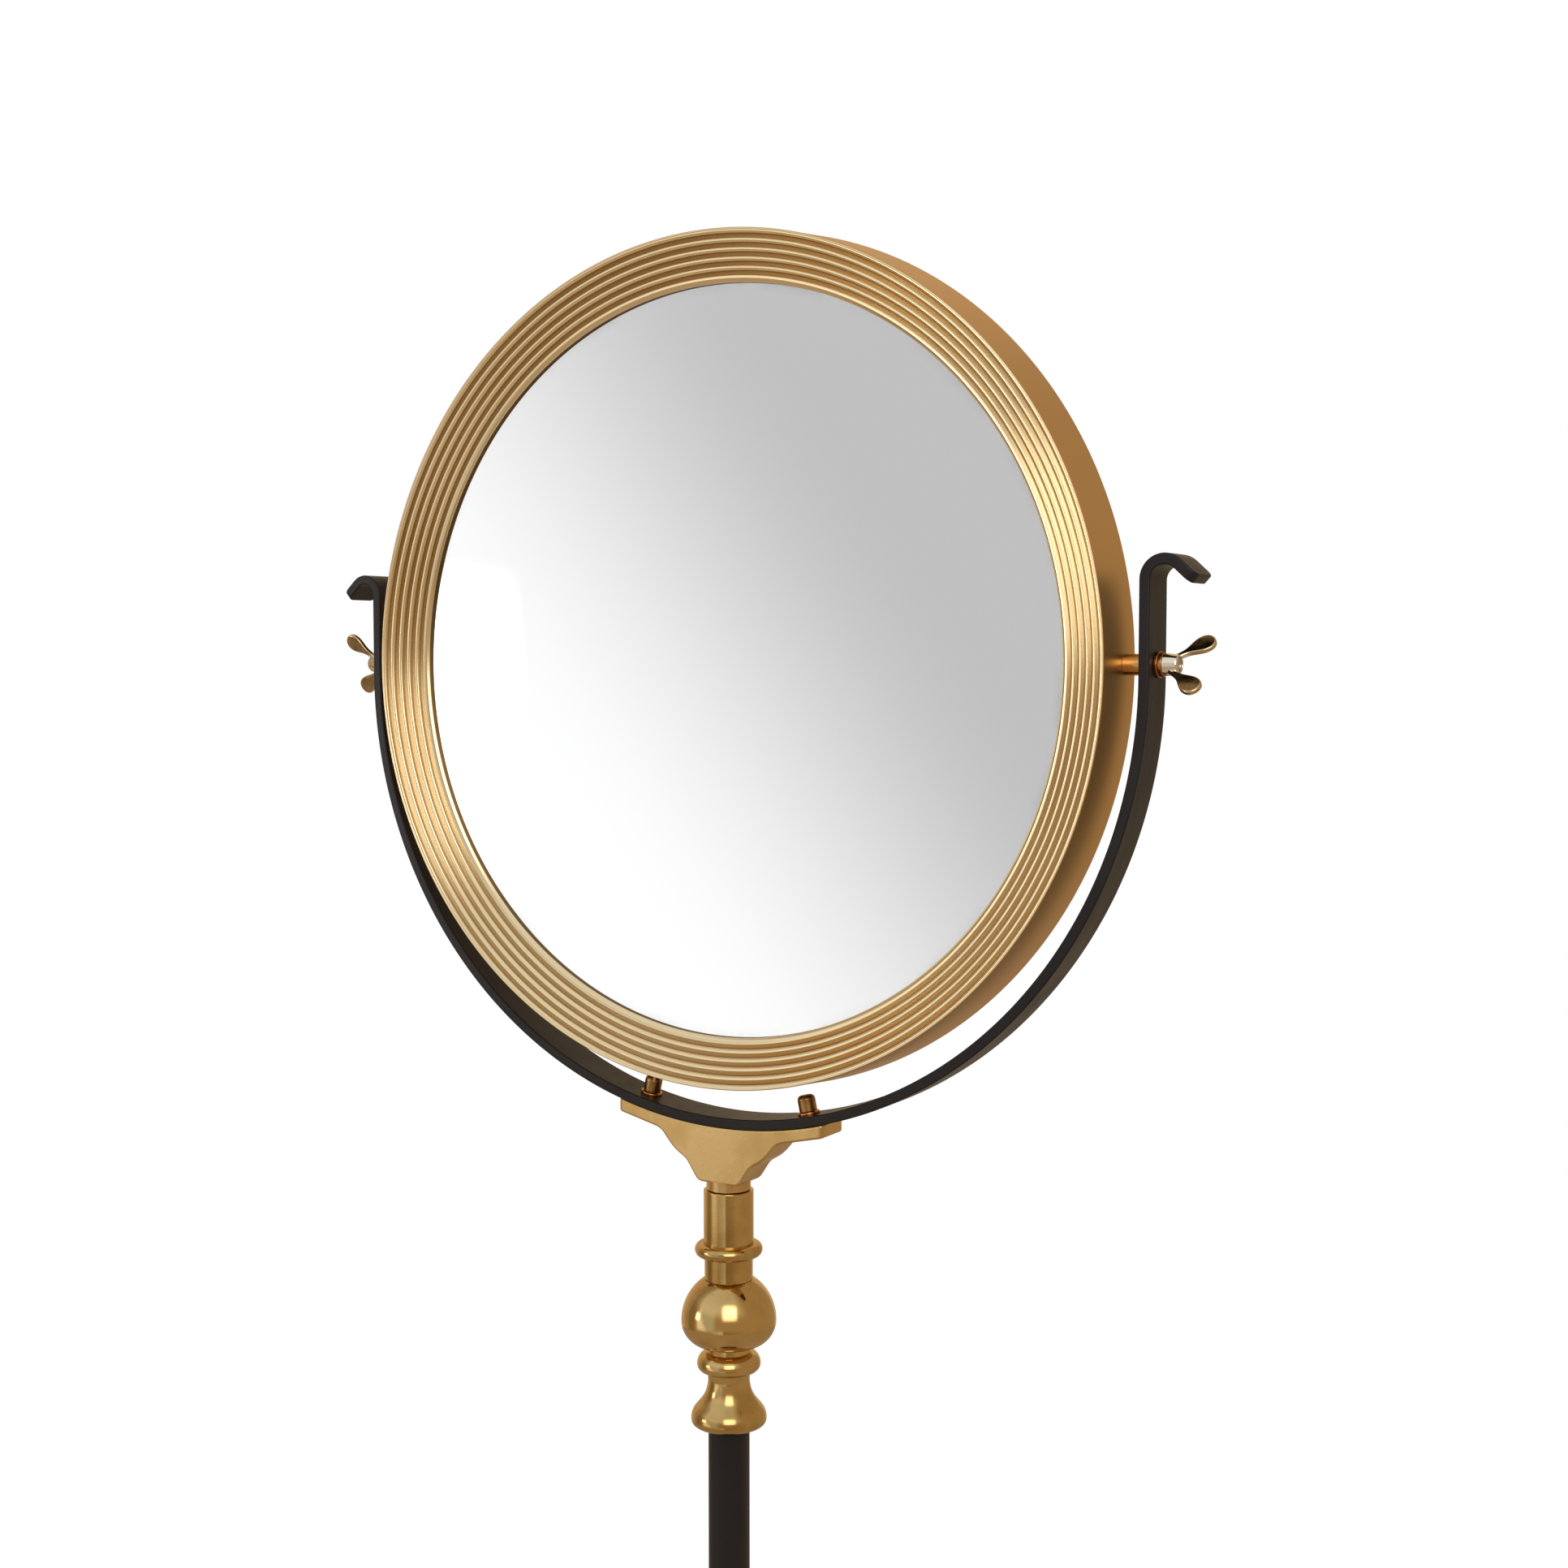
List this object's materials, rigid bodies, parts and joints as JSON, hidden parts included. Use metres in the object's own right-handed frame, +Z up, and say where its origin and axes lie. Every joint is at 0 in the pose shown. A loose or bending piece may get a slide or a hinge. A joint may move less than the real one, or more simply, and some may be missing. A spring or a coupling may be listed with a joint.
{
  "type": "tilting floor mirror",
  "caption": "Round reeded brass mirror that tilts in a curled flat-bar yoke, swivelling on a turned brass column, black post and weighted round foot.",
  "frame": {"origin": "on the floor, under the middle of the post", "axes": "+Z up, glass faces -Y, tilt axis along X"},
  "size_m": [0.5956, 0.36, 1.6532],
  "materials": {
    "satin_brass": "satin brushed",
    "polished_brass": "polished",
    "aged_brass": "aged",
    "black_paint": "satin",
    "black_iron": "painted satin",
    "silvered_glass": "mirror",
    "board": "matt",
    "steel": "zinc plated",
    "felt": "felt"
  },
  "bodies": {
    "stand": {"felt_pad": "felt", "base_weight": "black_iron", "foot_collar": "polished_brass", "post_tube": "black_paint", "tie_rod": "steel", "tie_washer": "steel", "tie_nut": "steel", "bell_ferrule": "polished_brass", "ball_knop": "polished_brass", "column_sleeve": "polished_brass", "swivel_bush": "aged_brass"},
    "yoke": {"saddle_bracket": "polished_brass", "yoke_bar": "black_paint", "yoke_screws": "aged_brass", "screw_washers": "aged_brass"},
    "mirror": {"mirror_frame": "satin_brass", "mirror_glass": "silvered_glass", "backing_board": "board", "back_clips": "steel", "clip_screws": "steel", "pivot_bolt_left": "aged_brass", "pivot_bolt_right": "aged_brass", "pivot_spacer_left": "polished_brass", "pivot_spacer_right": "polished_brass"},
    "washers_left": {"flat_washer_left": "aged_brass", "lock_washer_left": "aged_brass"},
    "washers_right": {"flat_washer_right": "aged_brass", "lock_washer_right": "aged_brass"},
    "wing_left": {"wing_nut_left": "aged_brass"},
    "wing_right": {"wing_nut_right": "aged_brass"}
  },
  "joints": [
    {"name": "yoke_swivel", "type": "hinge", "parent": "stand", "child": "yoke", "pos_m": [0, 0, 1.1], "axis": [0, 0, 1], "continuous": true},
    {"name": "mirror_tilt", "type": "hinge", "parent": "yoke", "child": "mirror", "pos_m": [0, 0, 1.4], "axis": [1, 0, 0], "continuous": true},
    {"name": "wing_left_travel", "type": "slide", "parent": "mirror", "child": "washers_left", "axis": [-1, 0, 0], "range_m": [0, 0.0025]},
    {"name": "wing_left_turn", "type": "hinge", "parent": "washers_left", "child": "wing_left", "pos_m": [-0.28, 0, 1.4], "axis": [-1, 0, 0], "range_deg": [0, 720]},
    {"name": "wing_right_travel", "type": "slide", "parent": "mirror", "child": "washers_right", "axis": [1, 0, 0], "range_m": [0, 0.0025]},
    {"name": "wing_right_turn", "type": "hinge", "parent": "washers_right", "child": "wing_right", "pos_m": [0.28, 0, 1.4], "axis": [1, 0, 0], "range_deg": [0, 720]}
  ],
  "couplings": [
    {"joint": "wing_left_travel", "follows": "wing_left_turn", "m_per_rad": 0.00019894},
    {"joint": "wing_right_travel", "follows": "wing_right_turn", "m_per_rad": 0.00019894}
  ]
}
